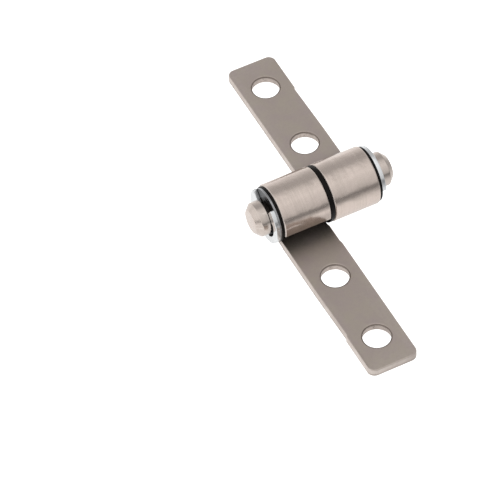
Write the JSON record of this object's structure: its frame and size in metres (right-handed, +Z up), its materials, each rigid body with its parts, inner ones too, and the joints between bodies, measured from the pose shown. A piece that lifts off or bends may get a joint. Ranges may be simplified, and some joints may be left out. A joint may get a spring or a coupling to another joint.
{
  "type": "strap hinge",
  "caption": "Free-stop strap hinge: narrow steel leaves rolled around one pin, offset side by side, held by washers and E-clips, each leaf drilled for screws.",
  "frame": {"origin": "on the mounting plane, straight below the middle of the pin", "axes": "+X along the pin towards the far leaf's barrel, +Y towards the far leaf's tip, +Z up from the mounting plane"},
  "size_m": [0.0214, 0.058, 0.0085],
  "materials": {
    "leaf_steel": "satin nickel plate",
    "pin_steel": "turned, satin nickel plate",
    "clip_zinc": "bright zinc plate",
    "spring_steel": "dark blued spring steel",
    "washer_resin": "black acetal",
    "sleeve_resin": "black filled resin"
  },
  "bodies": {
    "near_leaf": {"leaf_near": "leaf_steel", "sleeve_near": "sleeve_resin", "pin": "pin_steel", "centre_washer": "washer_resin", "end_washer_near": "washer_resin", "end_washer_far": "washer_resin", "spring_washer": "spring_steel", "e_clip_near": "clip_zinc", "e_clip_far": "clip_zinc"},
    "far_leaf": {"leaf_far": "leaf_steel", "sleeve_far": "sleeve_resin"}
  },
  "joints": [
    {"name": "leaf_swing", "type": "hinge", "parent": "near_leaf", "child": "far_leaf", "pos_m": [0, 0, 0.00425], "axis": [1, 0, 0], "continuous": true}
  ]
}
